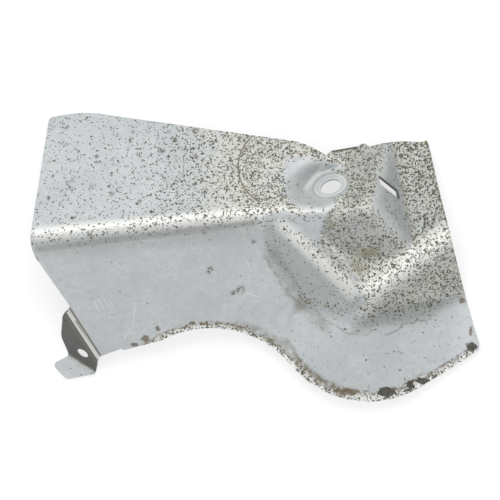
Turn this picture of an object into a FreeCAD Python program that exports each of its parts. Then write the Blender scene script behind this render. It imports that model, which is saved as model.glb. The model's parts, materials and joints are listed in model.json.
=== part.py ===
import FreeCAD, Part
import math
import os

doc = FreeCAD.newDocument("shield")
sheet = doc.addObject("Spreadsheet::Sheet", "sizes")

# Sizes in millimetres; slopes are rise over run. Plan axes lie in the draw plane, z is the draw direction.
sizes = [
    # sheet and overall trim
    ("gauge", 0.9),
    ("leftX", -113.6),
    ("cornerX", 118.6),
    ("cornerY", -53.2),
    ("foldRadius", 8.0),
    ("flankRadius", 9.0),
    ("tabRadius", 2.4),
    ("bossRadius", 5.0),
    ("ridgeRadius", 5.0),
    ("veeRadius", 9.0),
    # top panel and front wall
    ("foldX", -113.4),
    ("foldY", 7.3),
    ("foldSkew", 0.0985),
    ("topSlope", 0.76),
    ("wallSlope", 0.715),
    ("flankX", 34.0),
    ("flankY", 56.7),
    ("flankEndX", 42.5),
    ("flankEndY", 22.9),
    ("flankSlope", 0.9),
    ("endX", 43.7),
    ("endY", 28.1),
    ("endRun", 26.7),
    ("endLean", 9.4),
    ("endSlope", 2.0),
    # bolt seat plane and socket scoop
    ("seatX", 41.9),
    ("seatY", 33.0),
    ("seatZ", -19.2),
    ("seatRiseX", 0.45),
    ("seatFallY", 1.12),
    ("scoopRadius", 12.5),
    ("scoopSlope", 1.6),
    ("boltHole", 11.0),
    # boss front and side
    ("bossY", 19.2),
    ("bossZ", -3.1),
    ("bossSlope", 0.88),
    ("sideX", 66.0),
    ("sideY", 34.3),
    ("sideZ", -9.9),
    ("sideFallX", 1.8),
    ("sideFallY", 0.558),
    ("slotLong", 16.0),
    ("slotWide", 3.4),
    # second roof
    ("armX", 7.3),
    ("armY", 18.7),
    ("armZ", -1.6),
    ("armStartSlope", 2.6),
    ("veeX", 59.3),
    ("veeY", -23.9),
    ("veeZ", -18.7),
    ("rightX", 109.2),
    ("rightY", 10.9),
    ("rightZ", -15.6),
    ("skirtSlope", 0.9),
    ("innerSlope", 0.75),
    ("ledgeDrop", 4.2),
    ("ledgeSlope", 0.22),
    # flared skirt and turned lip
    ("lobeX", 61.9),
    ("lobeY", -27.0),
    ("lobeRadius", 52.2),
    ("flareZ", -45.0),
    ("flareSlope", 0.40),
    ("lipWide", 4.0),
    ("archX", -20.3),
    ("archY", -95.7),
    ("lipStart", -66.0),
    # folded tab and its foot
    ("tabX", -94.3),
    ("tabY", -31.6),
    ("tabEndX", -79.3),
    ("tabEndY", -56.2),
    ("tabFall", 1.1),
    ("footX", -94.9),
    ("footY", -54.4),
    ("footEndX", -81.4),
    ("footEndY", -63.1),
    ("footRise", 1.45),
    ("tabHole", 6.6),
    ("tabHoleX", -87.7),
    ("tabHoleY", -54.2),
    # slot in the boss side
    ("slotX", 72.0),
    ("slotY", 32.5),
    ("slotTurn", -37.0),
    # rest pose
    ("restRoll", 3.5588),
    ("restPitch", -5.1057),
]
for row, (name, value) in enumerate(sizes, start=1):
    cell = "A%d" % row
    sheet.set(cell, str(value))
    sheet.setAlias(cell, name)
doc.recompute()


def size(name):
    return float(sheet.get(name))


class Form:
    pass


f = Form()
for name, value in sizes:
    setattr(f, name, size(name))


def beside(x, y, ax, ay, bx, by):
    # distance to the right of the line from a to b, and run along it
    ex, ey = bx - ax, by - ay
    run = math.hypot(ex, ey)
    ex, ey = ex / run, ey / run
    across = (x - ax) * ey - (y - ay) * ex
    along = (x - ax) * ex + (y - ay) * ey
    return across, along, run


def backOf(x, y):
    return y - f.foldY - f.foldSkew * (x - f.foldX)


def topPlane(x, y):
    return -f.topSlope * backOf(x, y)


def wallPlane(x, y):
    return f.wallSlope * backOf(x, y)


def flankPlane(x, y):
    across, _, _ = beside(x, y, f.flankX, f.flankY, f.flankEndX, f.flankEndY)
    return topPlane(x, y) + f.flankSlope * across


def endPlane(x, y):
    across, _, _ = beside(x, y, f.endX, f.endY, f.endX - f.endLean, f.endY - f.endRun)
    return wallPlane(x, y) + f.endSlope * across


def tabPlane(x, y):
    across, _, _ = beside(x, y, f.tabX, f.tabY, f.tabEndX, f.tabEndY)
    return wallPlane(x, y) - f.tabFall * across


def footPlane(x, y):
    across, _, _ = beside(x, y, f.footX, f.footY, f.footEndX, f.footEndY)
    return tabPlane(x, y) + f.footRise * across


def seatPlane(x, y):
    return f.seatZ + f.seatRiseX * (x - f.seatX) - f.seatFallY * (y - f.seatY)


def frontPlane(x, y):
    return f.bossZ + f.bossSlope * (y - f.bossY)


def sidePlane(x, y):
    return f.sideZ - f.sideFallX * (x - f.sideX) - f.sideFallY * (y - f.sideY)


def armRidge(x, y, slope):
    across, along, run = beside(x, y, f.armX, f.armY, f.veeX, f.veeY)
    return f.armZ + (f.veeZ - f.armZ) * along / run + slope * across


def rightRidge(x, y, slope):
    across, along, run = beside(x, y, f.veeX, f.veeY, f.rightX, f.rightY)
    return f.veeZ + (f.rightZ - f.veeZ) * along / run + slope * across


def cheekPlane(x, y):
    return armRidge(x, y, -f.skirtSlope)


def skirtPlane(x, y):
    return rightRidge(x, y, -f.skirtSlope)


def armInner(x, y):
    return armRidge(x, y, f.innerSlope)


def rightInner(x, y):
    return rightRidge(x, y, f.innerSlope)


def ledgePlane(x, y):
    return rightRidge(x, y, f.ledgeSlope) - f.ledgeDrop


def armStart(x, y):
    _, along, _ = beside(x, y, f.armX, f.armY, f.veeX, f.veeY)
    return f.armZ + f.armStartSlope * along


half = f.cornerX - f.leftX * 0.37
deep = half * 2.5


def tilt(plane):
    gx = (plane(1.0, 0.0) - plane(0.0, 0.0))
    gy = (plane(0.0, 1.0) - plane(0.0, 0.0))
    return gx, gy, math.sqrt(1.0 + gx * gx + gy * gy)


def axisOf(plane):
    gx, gy, long = tilt(plane)
    return FreeCAD.Vector(-gx / long, -gy / long, 1.0 / long)


def below(plane, depth):
    # everything under the plane, lowered by the sheet depth along its normal
    lower = depth * tilt(plane)[2]
    corners = [(-half, -half), (half, -half), (half, half), (-half, half), (-half, -half)]
    ring = Part.makePolygon([FreeCAD.Vector(x, y, plane(x, y) - lower) for x, y in corners])
    return Part.Face(ring).extrude(FreeCAD.Vector(0, 0, -deep))


def wedge(first, second, depth, radius):
    # common of two half spaces with the fold between them rounded
    solid = below(first, depth).common(below(second, depth))
    fold = []
    for edge in solid.Edges:
        middle = edge.valueAt((edge.FirstParameter + edge.LastParameter) / 2.0)
        gaps = [abs(middle.z + depth * tilt(p)[2] - p(middle.x, middle.y)) for p in (first, second)]
        if max(gaps) < 1e-4:
            fold.append(edge)
    return solid.makeFillet(radius - depth, fold)


archRadius = math.hypot(f.lobeX - f.archX, f.lobeY - f.archY) - f.lobeRadius
skirtReach = f.lobeRadius * 1.77
room = Part.makeBox(1.7 * half, 1.2 * half, 0.75 * half, FreeCAD.Vector(-0.85 * half, -0.6 * half, -0.5 * half))


def form(depth):
    # the whole drawn form as a solid, its skin lowered by the sheet depth
    main = wedge(topPlane, wallPlane, depth, f.foldRadius)
    main = main.common(wedge(topPlane, flankPlane, depth, f.flankRadius))
    main = main.common(wedge(wallPlane, endPlane, depth, f.ridgeRadius))
    tabs = wedge(wallPlane, tabPlane, depth, f.tabRadius)
    feet = below(wallPlane, depth).common(below(footPlane, depth))
    main = main.common(tabs.fuse(feet))
    # socket scoop: a cone standing on the bolt seat
    axis = axisOf(seatPlane)
    spread = 1.0 / (f.scoopSlope * axis.z)
    start = f.scoopRadius + depth * (math.sqrt(1.0 + spread * spread) - spread)
    tall = f.scoopRadius * 4.8
    base = FreeCAD.Vector(f.seatX, f.seatY, seatPlane(f.seatX, f.seatY)) - axis * depth
    scoop = Part.makeCone(start, start + tall * spread, tall, base, axis)
    main = main.cut(scoop)
    boss = wedge(seatPlane, frontPlane, depth, f.bossRadius)
    boss = boss.common(wedge(seatPlane, sidePlane, depth, f.bossRadius))
    boss = boss.common(wedge(frontPlane, sidePlane, depth, f.bossRadius))
    # flared skirt: a cone round the V corner with a flat lip
    steep = math.sqrt(1.0 + f.flareSlope * f.flareSlope)
    top = f.flareZ + f.flareSlope * f.lobeRadius - depth * steep
    centre = FreeCAD.Vector(f.lobeX, f.lobeY, top)
    flare = Part.makeCone(0.0, 2.0 * skirtReach, 2.0 * skirtReach * f.flareSlope, centre, FreeCAD.Vector(0, 0, -1))
    lip = f.flareZ + f.flareSlope * f.lipWide - depth
    brim = Part.makeCylinder(skirtReach, deep / 4.0, FreeCAD.Vector(f.lobeX, f.lobeY, lip), FreeCAD.Vector(0, 0, -1))
    # second roof: left arm, right arm and the ledge between them
    arm = wedge(armInner, cheekPlane, depth, f.ridgeRadius).common(below(skirtPlane, depth))
    arm = arm.common(below(armStart, depth))
    right = wedge(rightInner, skirtPlane, depth, f.ridgeRadius).common(below(cheekPlane, depth))
    ledge = wedge(cheekPlane, skirtPlane, depth, f.veeRadius).common(below(ledgePlane, depth))
    ledge = ledge.common(below(armStart, depth))
    solid = main.common(room)
    for piece in (flare, brim, ledge, right, arm, boss):
        solid = solid.fuse(piece.common(room))
    return solid.removeSplitter()


outer = doc.addObject("Part::Feature", "outer_form")
outer.Shape = form(0.0)
inner = doc.addObject("Part::Feature", "inner_form")
inner.Shape = form(f.gauge)
drawSkin = doc.addObject("Part::Cut", "draw_skin")
drawSkin.Base = outer
drawSkin.Tool = inner

# Trim line in plan, from the left end of the fold round by the back edge
lobeTurn = math.atan2(f.cornerY - f.lobeY, f.cornerX - f.lobeX)
lobeReach = math.hypot(f.cornerX - f.lobeX, f.cornerY - f.lobeY)
tangentTurn = lobeTurn - math.acos(f.lobeRadius / lobeReach)
lobeEnd = (f.lobeX + f.lobeRadius * math.cos(tangentTurn), f.lobeY + f.lobeRadius * math.sin(tangentTurn))
lobeLow = (f.lobeX, f.lobeY - f.lobeRadius)
way = math.atan2(f.lobeY - f.archY, f.lobeX - f.archX)
meetPoint = (f.archX + archRadius * math.cos(way), f.archY + archRadius * math.sin(way))
archTop = (f.archX, f.archY + archRadius)
archLeft = (f.archX + archRadius * math.cos(math.radians(118.0)), f.archY + archRadius * math.sin(math.radians(118.0)))
trim = [
    ("line", (f.leftX + 8.2, 66.3)),
    ("arc", (f.leftX + 10.0, 69.1), (f.leftX + 18.9, 71.2)),
    ("arc", (-84.8, 71.8), (-73.2, 70.4)),
    ("line", (23.9, 56.6)),
    ("arc", (33.0, 53.2), (39.4, 49.3)),
    ("line", (42.3, 51.7)),
    ("line", (56.5, 54.2)),
    ("arc", (58.8, 55.5), (62.0, 53.9)),
    ("arc", (75.0, 56.4), (88.6, 56.2)),
    ("line", (92.0, 57.2)),
    ("line", (93.0, 54.9)),
    ("arc", (104.6, 5.9), (f.cornerX + 0.6, f.cornerY + 6.2)),
    ("arc", (f.cornerX + 1.3, f.cornerY + 3.0), (f.cornerX, f.cornerY)),
    ("line", lobeEnd),
    ("arc", lobeLow, meetPoint),
    ("arc", archTop, archLeft),
    ("line", (f.lipStart, -52.4)),
    ("line", (f.lipStart - 1.2, -51.6)),
    ("line", (-76.5, -55.0)),
    ("arc", (-79.2, -56.8), (-80.2, -60.0)),
    ("line", (-81.0, -64.2)),
    ("arc", (-81.4, -65.0), (-82.3, -65.2)),
    ("line", (-94.9, -67.5)),
    ("arc", (-96.2, -67.4), (-97.2, -66.7)),
    ("line", (-101.8, -61.9)),
    ("arc", (-102.4, -60.0), (-101.3, -58.5)),
    ("line", (-96.6, -56.2)),
    ("arc", (-95.3, -55.2), (-95.4, -53.4)),
    ("line", (-98.3, -46.5)),
    ("arc", (-98.7, -44.6), (-98.6, -42.0)),
    ("line", (-98.0, -36.8)),
    ("arc", (-97.3, -33.6), (-95.2, -31.6)),
    ("line", (-93.7, -29.5)),
    ("line", (f.leftX + 3.9, -6.3)),
    ("arc", (f.leftX + 0.4, 1.1), (f.leftX, 9.1)),
]
outline = doc.addObject("Sketcher::SketchObject", "trim_line")
here = trim[-1][-1]
for step in trim:
    start = FreeCAD.Vector(here[0], here[1], 0)
    here = step[-1]
    end = FreeCAD.Vector(here[0], here[1], 0)
    if step[0] == "line":
        outline.addGeometry(Part.LineSegment(start, end))
    else:
        outline.addGeometry(Part.Arc(start, FreeCAD.Vector(step[1][0], step[1][1], 0), end))
blank = doc.addObject("Part::Extrusion", "trim_block")
blank.Base = outline
blank.DirMode = "Normal"
blank.Solid = True
blank.Symmetric = True
blank.setExpression("LengthFwd", "sizes.lobeRadius * 2.7")
trimmed = doc.addObject("Part::MultiCommon", "trimmed_skin")
trimmed.Shapes = [drawSkin, blank]


def punch(name, diameter, x, y, plane):
    axis = axisOf(plane)
    # round punch along the sheet's own normal
    tool = doc.addObject("Part::Cylinder", name)
    tool.setExpression("Radius", "sizes.%s / 2" % diameter)
    tool.setExpression("Height", "sizes.gauge * 8")
    turn = FreeCAD.Rotation(FreeCAD.Vector(0, 0, 1), axis)
    tool.Placement = FreeCAD.Placement(FreeCAD.Vector(x, y, plane(x, y)) - axis * f.gauge * 4.0, turn)
    return tool


sideAxis = axisOf(sidePlane)
boltPunch = punch("bolt_punch", "boltHole", f.seatX, f.seatY, seatPlane)
tabPunch = punch("tab_punch", "tabHole", f.tabHoleX, f.tabHoleY, tabPlane)
slotPunch = doc.addObject("Part::Box", "slot_punch")
slotPunch.setExpression("Length", "sizes.slotLong")
slotPunch.setExpression("Width", "sizes.slotWide")
slotPunch.setExpression("Height", "sizes.gauge * 8")
turn = math.radians(f.slotTurn)
slotWay = FreeCAD.Vector(math.cos(turn), math.sin(turn), 0)
slotWay.z = -(sideAxis.x * slotWay.x + sideAxis.y * slotWay.y) / sideAxis.z
slotWay.normalize()
slotUp = sideAxis.cross(slotWay)
slotFrame = FreeCAD.Rotation(slotWay, slotUp, sideAxis, "ZXY")
corner = FreeCAD.Vector(f.slotX, f.slotY, sidePlane(f.slotX, f.slotY)) - sideAxis * f.gauge * 4.0
corner = corner - slotWay * f.slotLong / 2.0 - slotUp * f.slotWide / 2.0
slotPunch.Placement = FreeCAD.Placement(corner, slotFrame)
punches = doc.addObject("Part::MultiFuse", "punches")
punches.Shapes = [boltPunch, tabPunch, slotPunch]
pierced = doc.addObject("Part::Cut", "pierced_skin")
pierced.Base = trimmed
pierced.Tool = punches
doc.recompute()

plate = doc.addObject("Part::Feature", "shield_plate")
plate.Label = "shield_plate"
plate.Shape = pierced.Shape.Solids[0]
roll = FreeCAD.Rotation(FreeCAD.Vector(0, 1, 0), f.restRoll)
pitch = FreeCAD.Rotation(FreeCAD.Vector(1, 0, 0), f.restPitch)
stand = FreeCAD.Placement(FreeCAD.Vector(), pitch.multiply(roll))
box = pierced.Shape.Solids[0].transformed(stand.toMatrix()).optimalBoundingBox(False, False)
plate.Placement = FreeCAD.Placement(FreeCAD.Vector(-box.Center.x, -box.Center.y, -box.ZMin), pitch.multiply(roll))
doc.recompute()

for item in doc.Objects:
    if "Invalid" in item.State or "Error" in item.State:
        raise RuntimeError("%s did not build" % item.Name)
    shape = getattr(item, "Shape", None)
    if shape is not None and (shape.isNull() or not shape.isValid()):
        raise RuntimeError("%s has no sound shape" % item.Name)
if len(pierced.Shape.Solids) != 1:
    raise RuntimeError("the sheet came apart")

os.makedirs("parts", exist_ok=True)
plate.Shape.exportStep("parts/shield_plate.step")
for label, x, y, plane in (("bolt", f.seatX, f.seatY, seatPlane), ("tab", f.tabHoleX, f.tabHoleY, tabPlane)):
    spot = plate.Placement.multVec(FreeCAD.Vector(x, y, plane(x, y)) - axisOf(plane) * f.gauge / 2.0)
    print(label, spot, plate.Placement.Rotation.multVec(axisOf(plane)))
print("volume", round(plate.Shape.Volume), "box", plate.Shape.BoundBox, "faces", len(plate.Shape.Faces))
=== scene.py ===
import json
import math
import bpy
import numpy as np
from mathutils import Matrix, Vector
from mathutils.geometry import delaunay_2d_cdt


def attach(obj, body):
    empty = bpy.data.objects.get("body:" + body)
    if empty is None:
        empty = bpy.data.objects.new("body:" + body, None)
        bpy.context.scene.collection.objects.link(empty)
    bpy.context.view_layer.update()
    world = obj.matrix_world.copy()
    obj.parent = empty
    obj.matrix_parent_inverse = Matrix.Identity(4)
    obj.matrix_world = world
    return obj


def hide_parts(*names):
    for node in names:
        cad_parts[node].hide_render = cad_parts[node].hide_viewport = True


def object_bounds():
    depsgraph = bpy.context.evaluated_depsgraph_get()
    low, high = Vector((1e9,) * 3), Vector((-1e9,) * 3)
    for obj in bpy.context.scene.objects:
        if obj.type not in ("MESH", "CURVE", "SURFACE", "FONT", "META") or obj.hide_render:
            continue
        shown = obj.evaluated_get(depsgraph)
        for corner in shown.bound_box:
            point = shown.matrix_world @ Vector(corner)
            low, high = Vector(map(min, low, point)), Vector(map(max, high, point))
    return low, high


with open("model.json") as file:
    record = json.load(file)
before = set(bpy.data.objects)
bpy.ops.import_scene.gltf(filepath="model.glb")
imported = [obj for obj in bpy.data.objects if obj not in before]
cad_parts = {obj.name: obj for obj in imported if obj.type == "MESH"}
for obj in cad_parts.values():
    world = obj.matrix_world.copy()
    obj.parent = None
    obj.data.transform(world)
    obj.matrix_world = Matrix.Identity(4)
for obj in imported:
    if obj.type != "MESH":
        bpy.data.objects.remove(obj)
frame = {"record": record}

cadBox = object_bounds()
scene = bpy.context.scene

# the draw frame: x and y as seen along the draw direction, z towards the viewer, in millimetres
drawAngles = (-5.1057, 3.5588)          # turn from the draw frame to the part, about x and y, degrees
turnX, turnY = (math.radians(angle) for angle in drawAngles)
drawTurn = Matrix.Rotation(turnX, 3, "X") @ Matrix.Rotation(turnY, 3, "Y")
# middle of the bolt hole in the draw frame and in the part, in metres
seatDraw = Vector((0.04202919, 0.03267846, -0.01948709))
seatRow = Vector(frame["record"]["mounts"][0]["pos_m"])
drawShift = seatRow - drawTurn @ seatDraw
print("frame ready")

# lines run from a first to a second point in plan, slopes are rise over run
plateForm = {
    "gauge": 0.9,                                   # sheet thickness
    "spacing": 0.95,                                # distance between surface points
    "rowShare": 0.866,                              # distance between rows of points, as a share of that
    "gridLow": (-115.0, -81.0),                     # corners of the grid of points
    "gridHigh": (122.0, 75.0),
    "rimClear": 0.55,                               # share of the spacing kept free beside an edge
    "foldStart": (-113.4, 7.3),                     # left end of the fold between top and wall
    "foldRise": 0.0985,
    "foldBlend": 6.5,
    "topFall": 0.76,
    "wallFall": 0.98,                               # wall below the fold, then its flatter foot
    "wallFoot": 0.69,
    "wallStep": 1.6,
    "wallBlend": 2.5,
    "flankLine": ((34.0, 56.7), (42.5, 22.9)),      # right edge of the top
    "flankFall": 0.9,
    "flankSoft": 9.0,
    "endLine": ((43.7, 28.1), (34.3, 1.4)),         # right end of the wall
    "endRise": 2.0,
    "endBlend": 5.0,
    "tabLine": ((-94.3, -31.6), (-79.3, -56.2)),    # folds of the tab and of its foot
    "tabFall": 1.1,
    "tabBlend": 1.6,
    "footLine": ((-94.9, -54.4), (-81.4, -63.1)),
    "footRise": 1.45,
    "footBlend": 1.2,
    "bentBlend": 0.6,
    "tabMargin": 0.4,                               # the tab counts as a face where it is this far below
    "seat": (41.9, 33.0, -19.2),                    # centre of the bolt hole
    "seatRise": 0.45,
    "seatFall": -1.12,
    "boltRadius": 5.5,
    "scoopReach": 12.5,                             # socket room round the seat
    "scoopRise": 1.6,
    "scoopSoft": 2.6,
    "scoopBlend": 8.0,
    "frontStart": (19.2, -3.1),                     # boss front: y and height of a point on it
    "frontRise": 0.88,
    "sideStart": (65.6, 34.3, -9.9),                # a point on the boss side
    "sideFall": (1.5, 0.5),
    "bossBlend": 9.0,
    "armLine": ((7.3, 18.7), (59.3, -23.9)),        # left ridge of the second roof
    "armLength": 67.2,
    "armTop": -1.6,
    "armDrop": 17.1,
    "armStart": 2.6,                                # slope at which the arm rises out of the wall
    "startBlend": 4.0,
    "rightLine": ((59.3, -23.9), (109.2, 10.9)),    # right ridge of the second roof
    "rightTop": -18.7,
    "rightRise": 3.1,
    "innerRise": 0.75,
    "cheekFall": 0.72,                              # cheek below the left ridge, steeper lower down
    "cheekSteep": 1.45,
    "cheekStep": 9.5,
    "cheekBlend": 3.0,
    "skirtFall": 0.9,
    "ridgeBlend": 6.5,
    "ledgeRise": 0.22,
    "ledgeDrop": 4.2,
    "ledgeBlend": 8.0,
    "ledgeSoft": 3.0,
    "lobe": (61.9, -27.0, 52.2),                    # rounded skirt: centre and radius
    "flareTop": -45.0,
    "flareFall": 0.4,
    "brim": -43.4,
    "brimReach": 92.0,
    "brimBlend": 1.5,
    "archCentre": (-20.3, -95.7),                   # arch of the wall's lower edge
    "archEndAngle": 118.0,
    "lipWide": 3.0,                                 # turned lip along the arch
    "lipFall": 0.12,
    "lipFade": 2.0,
    "lipLeft": -60.0,
    "lipBlend": 0.8,
    "creaseBlend": 4.6,                             # softness of the inner creases
    "ringCentre": (14.8, 43.4),                     # arcs left by the draw ring
    "ringRadii": (20.9, 17.2),
    "ringWidths": (1.1, 1.0),
    "ringShares": (1.0, 0.6),
    "ringDepth": 0.35,
    "ringRight": (8.0, 6.0),                        # the arcs begin left of this x, full after this run
    "corner": (118.6, -53.2),                       # lower right corner of the trim line
    "tabHole": (-87.7, -54.2, 3.3),
    "holePoints": 40,
    "slot": [(67.1, 38.0), (76.4, 30.7), (77.0, 27.0), (67.6, 34.3)],
    "probe": 0.3,                                   # distance over which the slope is taken
}
farBelow = -200.0

# wear and painted shade of each face: share of pits, share of painted shade with grey film
faceWearShade = {
    "top": (0.5, 0.05),
    "wall": (0.012, 0.0),
    "scoop": (0.10, 0.25),
    "tab": (0.06, 0.14),
    "flare": (0.06, 0.08),
    "ledge": (1.05, 0.30),
    "rightInner": (1.05, 0.05),
    "rightOuter": (0.85, 0.60),
    "armInner": (0.85, 0.05),
    "armOuter": (0.26, 0.45),
    "seat": (1.45, 0.42),
    "bossFront": (0.95, 0.36),
    "bossSide": (0.25, 0.45),
    "lip": (0.50, 0.10),
}
faceNumber = {name: number for number, name in enumerate(faceWearShade)}


def smoothMin(a, b, k):
    gap = np.clip(k - np.abs(a - b), 0.0, None) / k
    return np.minimum(a, b) - gap * gap * k / 4.0


def smoothMax(a, b, k):
    return -smoothMin(-a, -b, k)


def softRise(d, w):
    # zero below -w, d above w, a parabola between
    t = np.clip((d + w) / (2.0 * w), 0.0, None)
    return np.where(d > w, d, np.where(d < -w, 0.0, w * t * t))


def smoothStep(value, low, high):
    t = np.clip((value - low) / (high - low), 0.0, 1.0)
    return t * t * (3.0 - 2.0 * t)


def beside(x, y, line):
    # distance to the right of the line from a to b, and share of the run along it
    (ax, ay), (bx, by) = line
    run = math.hypot(bx - ax, by - ay)
    ex, ey = (bx - ax) / run, (by - ay) / run
    return (x - ax) * ey - (y - ay) * ex, ((x - ax) * ex + (y - ay) * ey) / run


def behindFold(x, y):
    # distance behind the fold, along y
    return y - plateForm["foldStart"][1] - plateForm["foldRise"] * (x - plateForm["foldStart"][0])


seat = plateForm["seat"]
lobe = plateForm["lobe"]
archCentre = plateForm["archCentre"]
archRadius = math.hypot(lobe[0] - archCentre[0], lobe[1] - archCentre[1]) - lobe[2]
arch = (archCentre[0], archCentre[1], archRadius)


def wallForm(x, y):
    # the wall, with the flatter foot that also carries the tab and the lip
    back = behindFold(x, y)
    foot = plateForm["wallFoot"] * back - plateForm["wallStep"]
    return smoothMax(plateForm["wallFall"] * back, foot, plateForm["wallBlend"]), foot


def ringMarks(x, y):
    # two shallow grooves round the draw ring's centre, on the left only
    reach = np.hypot(x - plateForm["ringCentre"][0], y - plateForm["ringCentre"][1])
    start, run = plateForm["ringRight"]
    total = 0.0
    for radius, wide, share in zip(plateForm["ringRadii"], plateForm["ringWidths"], plateForm["ringShares"]):
        total = total + share * np.exp(-((reach - radius) / wide) ** 2)
    return plateForm["ringDepth"] * smoothStep(start - x, 0.0, run) * total


def bodyForm(x, y):
    # top, wall, scoop and tab: the lower of those that meet in outer folds
    f = plateForm
    top = -f["topFall"] * behindFold(x, y)
    wall, _ = wallForm(x, y)
    flankSide, _ = beside(x, y, f["flankLine"])
    endSide, _ = beside(x, y, f["endLine"])
    tabSide, _ = beside(x, y, f["tabLine"])
    footSide, _ = beside(x, y, f["footLine"])
    flank = top - f["flankFall"] * softRise(-flankSide, f["flankSoft"]) - ringMarks(x, y)
    seatPlane = seat[2] + f["seatRise"] * (x - seat[0]) + f["seatFall"] * (y - seat[1])
    reach = np.sqrt((x - seat[0]) ** 2 + (y - seat[1]) ** 2 + (seatPlane - seat[2]) ** 2)
    scoop = seatPlane + f["scoopRise"] * softRise(reach - f["scoopReach"], f["scoopSoft"])
    tab = wall - f["tabFall"] * tabSide
    foot = tab + f["footRise"] * footSide
    bent = smoothMax(smoothMin(wall, tab, f["tabBlend"]), np.minimum(wall, foot), f["footBlend"])
    end = wall + f["endRise"] * endSide
    upper = smoothMin(flank, scoop, f["scoopBlend"])
    lower = smoothMin(wall, end, f["endBlend"])
    body = smoothMin(smoothMin(upper, lower, f["foldBlend"]), bent, f["bentBlend"])
    lowest = np.argmin(np.stack([flank, wall, scoop, bent + f["tabMargin"], end]), axis=0)
    face = np.choose(lowest, [faceNumber[name] for name in ("top", "wall", "scoop", "tab", "wall")])
    return body, face, seatPlane


def bossForm(x, y, seatPlane):
    # the raised boss under the bolt seat: seat, front and slotted side
    f = plateForm
    front = f["frontStart"][1] + f["frontRise"] * (y - f["frontStart"][0])
    sideX, sideY, sideZ = f["sideStart"]
    side = sideZ - f["sideFall"][0] * (x - sideX) - f["sideFall"][1] * (y - sideY)
    boss = smoothMin(smoothMin(seatPlane, front, f["bossBlend"]), side, f["bossBlend"])
    lowest = np.argmin(np.stack([seatPlane, front, side]), axis=0)
    return boss, np.choose(lowest, [faceNumber[name] for name in ("seat", "bossFront", "bossSide")])


def roofForms(x, y):
    # the second roof: the ledge inside the V, its right and left arms, and the face on each arm
    f = plateForm
    ridge = f["ridgeBlend"]
    armSide, armRun = beside(x, y, f["armLine"])
    rightSide, rightRun = beside(x, y, f["rightLine"])
    armRidge = f["armTop"] - f["armDrop"] * armRun
    rightRidge = f["rightTop"] + f["rightRise"] * rightRun
    steep = armRidge + f["cheekStep"] - f["cheekSteep"] * armSide
    cheek = smoothMin(armRidge - f["cheekFall"] * armSide, steep, f["cheekBlend"])
    skirt = rightRidge - f["skirtFall"] * rightSide
    start = f["armTop"] + f["armStart"] * f["armLength"] * armRun
    armInner = armRidge + f["innerRise"] * armSide
    rightInner = rightRidge + f["innerRise"] * rightSide
    arm = smoothMin(smoothMin(smoothMin(armInner, cheek, ridge), skirt, ridge), start, f["startBlend"])
    right = smoothMin(smoothMin(rightInner, skirt, ridge), cheek, ridge)
    floorPlane = rightRidge + f["ledgeRise"] * rightSide - f["ledgeDrop"]
    ledge = smoothMin(smoothMin(cheek, skirt, f["ledgeBlend"]), floorPlane, f["ledgeSoft"])
    ledge = smoothMin(ledge, start, f["startBlend"])
    rightFace = np.where(rightInner < skirt, faceNumber["rightInner"], faceNumber["rightOuter"])
    armFace = np.where(armInner < cheek, faceNumber["armInner"], faceNumber["armOuter"])
    return ledge, right, arm, rightFace, armFace


def flareForm(x, y):
    # the skirt's flare, which ends in a level brim
    lobeReach = np.hypot(x - lobe[0], y - lobe[1])
    brim = np.where(lobeReach < plateForm["brimReach"], plateForm["brim"], farBelow)
    slope = plateForm["flareTop"] + plateForm["flareFall"] * (lobe[2] - lobeReach)
    return smoothMax(slope, brim, plateForm["brimBlend"])


def lipForm(x, y):
    # the lip turned up along the arch: the height at its inner line, falling a little to the edge
    archReach = np.hypot(x - arch[0], y - arch[1])
    off = np.clip(archReach - arch[2], 0.0, None)
    wide = plateForm["lipWide"]
    lineX = arch[0] + (x - arch[0]) / archReach * (arch[2] + wide)
    lineY = arch[1] + (y - arch[1]) / archReach * (arch[2] + wide)
    _, lipLine = wallForm(lineX, lineY)
    near = (off < wide + plateForm["lipFade"]) & (x > plateForm["lipLeft"])
    return np.where(near, lipLine - plateForm["lipFall"] * (wide - off), farBelow)


def drawForm(x, y):
    # The sheet's upper skin as a height over the plan, with the number of the face on top. Faces that meet
    # in an outer fold are joined by a smooth minimum, bodies that meet in a crease by a smooth maximum.
    body, bodyFace, seatPlane = bodyForm(x, y)
    boss, bossFace = bossForm(x, y, seatPlane)
    ledge, right, arm, rightFace, armFace = roofForms(x, y)
    flare = flareForm(x, y)
    lip = lipForm(x, y)
    height = body
    for piece in (flare, ledge, right, arm, boss):
        height = smoothMax(height, piece, plateForm["creaseBlend"])
    height = smoothMax(height, lip, plateForm["lipBlend"])
    lead = np.argmax(np.stack([body, flare, ledge, right, arm, boss, lip]), axis=0)
    flareFace = np.full_like(bodyFace, faceNumber["flare"])
    ledgeFace = np.full_like(bodyFace, faceNumber["ledge"])
    lipFace = np.full_like(bodyFace, faceNumber["lip"])
    face = np.choose(lead, [bodyFace, flareFace, ledgeFace, rightFace, armFace, bossFace, lipFace])
    return height, face


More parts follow.
